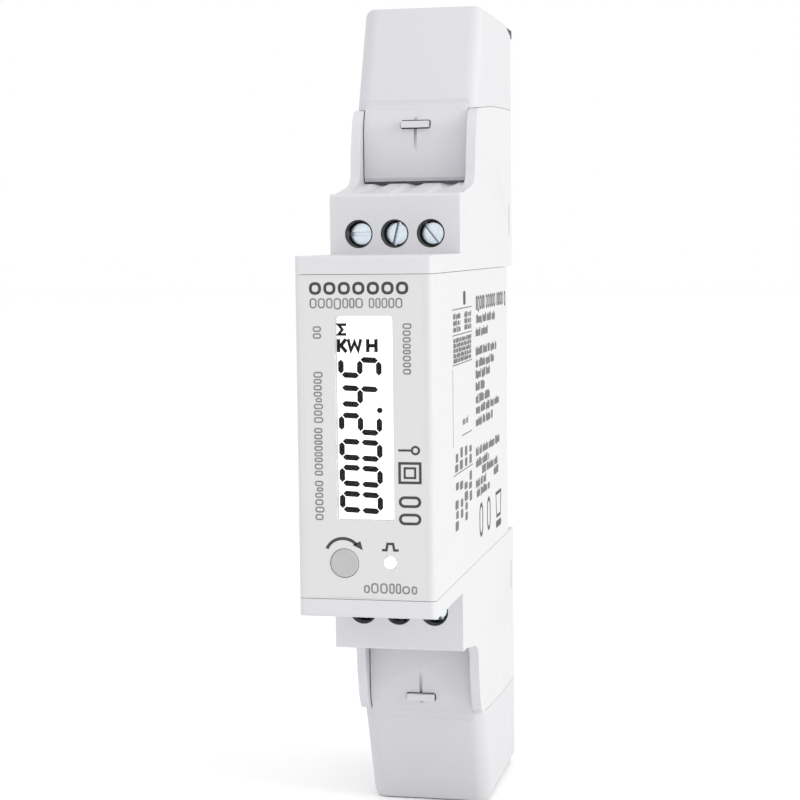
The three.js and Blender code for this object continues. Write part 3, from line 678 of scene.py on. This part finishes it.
# The unit and the sign for a total, upright beside the last digit.
UNIT_LOW, UNIT_HIGH, UNIT_STROKE = 10.60, 12.22, 0.44
unit_mid = (UNIT_LOW + UNIT_HIGH) / 2
for u in (-3.36, 0.34, 1.38):
    readout.stroke([(u, UNIT_LOW), (u, UNIT_HIGH)], UNIT_STROKE)
readout.stroke([(-2.42, UNIT_HIGH), (-3.06, unit_mid), (-2.36, UNIT_LOW)], UNIT_STROKE)
readout.stroke(
    [(-2.14, UNIT_HIGH), (-1.80, UNIT_LOW + 0.2), (-1.34, UNIT_HIGH - 0.35), (-0.88, UNIT_LOW + 0.2),
     (-0.54, UNIT_HIGH)], UNIT_STROKE * 0.95,
)
readout.stroke([(0.42, unit_mid), (1.3, unit_mid)], UNIT_STROKE)
readout.stroke([(-2.35, 14.0), (-3.35, 14.0), (-2.85, 13.4), (-3.35, 12.8), (-2.35, 12.8)], 0.34)
readout.made("display_readout", segment, "lcd_glass", "housing")

# ---- Print on the front label -------------------------------------------------------------


def on_label(u, v, lift):
    return (u, LABEL_Y - lift, v)


dark, grey = Print(on_label), Print(on_label)
HEADING_STEP = 1.83  # a row of seven rings stands where a name would be
for k in range(7):
    left = -6.85 + HEADING_STEP * k
    dark.outline(left, 17.72, left + HEADING_STEP - 0.3, 19.28, 0.36)
greeked(grey, -6.8, 16.05, 11.9, 1.25, 5, word=(7, 7), fill=0.84, tall=1.0, pen=0.17)
greeked(grey, -5.40, -10.3, 19.0, 1.05, 7, word=(4, 9), fill=0.80, upright=False, tall=0.9, pen=0.17)
greeked(grey, -5.40, 12.3, 2.4, 1.05, 9, word=(2, 2), fill=0.80, upright=False, tall=1.0, pen=0.17)
greeked(grey, 5.90, 7.9, 6.3, 1.0, 11, word=(8, 9), fill=0.80, upright=False, tall=1.0, pen=0.17)
greeked(grey, -0.36, -19.35, 7.2, 1.3, 13, word=(5, 8), fill=0.82, tall=0.8, pen=0.19)

# Generic pictograms: a ring on a bar, a square in a square, two rounded frames, a pulse, an arrow.
dark.stroke(arc(6.35, -1.45, 0.46, 0, 330, 11), 0.26, closed=True)
dark.stroke([(4.2, -1.45), (5.8, -1.45)], 0.26)
SQUARES = (5.63, -4.25)
for half_u, half_v, width in ((1.30, 1.20, 0.32), (0.66, 0.60, 0.26)):
    u, v = SQUARES
    corners = [(u - half_u, v - half_v), (u + half_u, v - half_v)]
    corners += [(u + half_u, v + half_v), (u - half_u, v + half_v)]
    dark.stroke(corners, width, closed=True)
for middle_v in (-7.85, -10.0):
    frame_line = arc(6.3, middle_v, 0.55, 90, -90, 6) + arc(4.9, middle_v, 0.55, 270, 90, 6)
    dark.stroke(frame_line, 0.34, closed=True)
PULSE = [(2.0, -13.9), (2.55, -13.9), (2.7, -13.1), (3.4, -13.1), (3.55, -13.9), (4.1, -13.9)]
dark.stroke(PULSE, 0.30)
sweep = [
    (-2.95 + 2.2 * math.cos(math.radians(a)), -14.55 + 2.0 * math.sin(math.radians(a)))
    for a in range(160, 31, -11)
]
dark.stroke(sweep, 0.38)
dark.area([(-0.75, -12.85), (-0.45, -13.95), (-1.75, -13.35)])
label_border = Print(on_label)  # the film's edge, laid over the joint round the label
border_u, border_v = label_high.x + 0.01, label_high.z + 0.01
label_border.outline(-border_u - 0.06, -border_v - 0.06, border_u + 0.06, border_v + 0.06, 0.16, 0.004)
label_border.made("label_border_film", film, "label_film", "housing")
dark.made("label_print_dark", ink, "label_film", "housing")
grey.made("label_print_grey", pale_ink, "label_film", "housing")

# ---- Print on the right wing --------------------------------------------------------------

WING_X = millimetres("front_cover")[1].x


def on_wing(u, v, lift):
    return (WING_X - 0.008 + lift, u, v)


# Rows of the right-hand column: height of the middle, start, length.
WING_ROWS = (
    (13.4, -27.4, 16.5), (11.6, -28.0, 10.5), (9.0, -28.0, 18.5), (7.3, -28.1, 16.5), (5.8, -28.2, 12),
    (4.1, -28.3, 7.5), (2.4, -28.2, 12), (0.9, -28.2, 20), (-0.8, -28.3, 15), (-4.9, -28.4, 21),
    (-6.5, -28.5, 11), (-7.9, -23.5, 14), (-9.3, -28.6, 9), (-9.3, -13.5, 4.5), (-10.7, -28.0, 11),
)
bold, fine = Print(on_wing), Print(on_wing)
greeked(bold, -27.6, 14.6, 27.0, 2.0, 15, word=(4, 7), fill=0.84, tall=1.0, pen=0.42)
for row, (v, start, length) in enumerate(WING_ROWS):
    greeked(fine, start, v - 0.6, length, 1.2, 40 + row, word=(3, 8), fill=0.9, tall=0.5)

# The left-hand column: a mark, ruled text blocks, and lines of text turned on their side.
bold.block(-37.4, 15.7, -35.6, 17.5, 0.3)
for v in (15.3, 11.95, 8.1, -6.2):
    fine.block(-45.4, v - 0.07, -31.0, v + 0.07)
for row in range(3):
    for start in (-44.8, -36.6):
        greeked(fine, start, 14.05 - 0.85 * row, 5.4, 0.75, 60 + 2 * row + (start > -40), fill=0.85)
for row in range(5):
    greeked(fine, -44.8, 11.0 - 0.66 * row, 13.4, 0.58, 70 + row, word=(4, 9), fill=0.9, tall=0.6)
fine.block(-45.5, -2.4, -45.3, 7.6)
greeked(fine, -38.5, -0.2, 4.5, 1.0, 80)
fine.block(-39.0, -1.6, -31.4, -1.45)
for column, indent in enumerate((0, 1.2, 0.4, 2.6)):
    u = -42.0 + 3.4 * column
    greeked(fine, u, -5.9, 3.4, 2.3, 84 + column, upright=False, fill=0.8, tall=0.6)
    greeked(fine, u, -13.6 + indent, 7.0 - indent, 2.3, 90 + column, upright=False, fill=0.8, tall=0.6)
for u in (-26.0, -19.6):
    frame_line = arc(u + 1.6, -15.8, 1.2, 0, -180, 6) + arc(u + 1.6, -13.9, 1.2, 180, 0, 6)
    bold.stroke(frame_line, 0.6, closed=True)
bold.stroke([(-11.6, -12.9), (-7.0, -12.9), (-7.6, -16.3), (-11.0, -16.3)], 0.5, closed=True)
bold.block(-11.6, -18.0, -7.0, -17.0, 0.2)
bold.made("wing_print_bold", ink, "shell_grey", "housing")
fine.made("wing_print_fine", side_ink, "shell_grey", "housing")

# ---- Floor, light and camera --------------------------------------------------------------

FLOOR_M = cad_box[0][2] - 0.0002


def ground():
    """A wide pale floor."""
    mesh = bpy.data.meshes.new("floor")
    reach = 3.0
    corners = ((-reach, -reach), (reach, -reach), (reach, reach), (-reach, reach))
    mesh.from_pydata([(x, y, FLOOR_M) for x, y in corners], [], [(0, 1, 2, 3)])
    floor = bpy.data.objects.new("floor", mesh)
    bpy.context.scene.collection.objects.link(floor)
    paint = finish_material(
        "floor_paint", (0.996, 0.996, 0.996), 0.8, mottle=0.003, mottle_size=60, relief=0.0,
    )
    dress(floor, paint)


def lamp(name, at, size, power, colour, aim=(0, -0.02, 0)):
    """A soft square light that faces the object."""
    data = bpy.data.lights.new(name, "AREA")
    data.color = colour
    data.shape = "SQUARE"
    data.size = size
    data.energy = power
    lit = bpy.data.objects.new(name, data)
    lit.location = at
    lit.rotation_euler = (Vector(aim) - Vector(at)).to_track_quat("-Z", "Y").to_euler()
    bpy.context.scene.collection.objects.link(lit)


ground()
world = bpy.data.worlds.new("studio")
world.use_nodes = True
world.node_tree.nodes["Background"].inputs["Color"].default_value = (1, 1, 1, 1)
world.node_tree.nodes["Background"].inputs["Strength"].default_value = 1.0
bpy.context.scene.world = world
lamp("key_light", (0.92, -0.26, 0.36), 0.5, 4.1, (1.0, 0.99, 0.90))
lamp("fill_light", (-0.1, -0.6, 0.75), 0.5, 0.9, (0.96, 0.98, 1.0))
bpy.context.scene.view_settings.view_transform = "Standard"

CAMERA_M = (0.05351, -0.28655, 0.02425)
YAW, PITCH, ROLL = math.radians(12.108), math.radians(4.763), math.radians(-0.631)
SENSOR, LENS = 36.0, 86.0


def camera():
    data = bpy.data.cameras.new("camera")
    data.sensor_width = SENSOR
    data.lens = LENS
    data.clip_start = 0.01
    seen = bpy.data.objects.new("camera", data)
    bpy.context.scene.collection.objects.link(seen)
    forward = Vector((
        -math.sin(YAW) * math.cos(PITCH), math.cos(YAW) * math.cos(PITCH), -math.sin(PITCH),
    ))
    right = Vector((math.cos(YAW), math.sin(YAW), 0))
    up = right.cross(forward)
    rolled_right = math.cos(ROLL) * right + math.sin(ROLL) * up
    rolled_up = -math.sin(ROLL) * right + math.cos(ROLL) * up
    turn = Matrix((rolled_right, rolled_up, -forward)).transposed()
    seen.matrix_world = Matrix.Translation(CAMERA_M) @ turn.to_4x4()
    bpy.context.scene.camera = seen


camera()
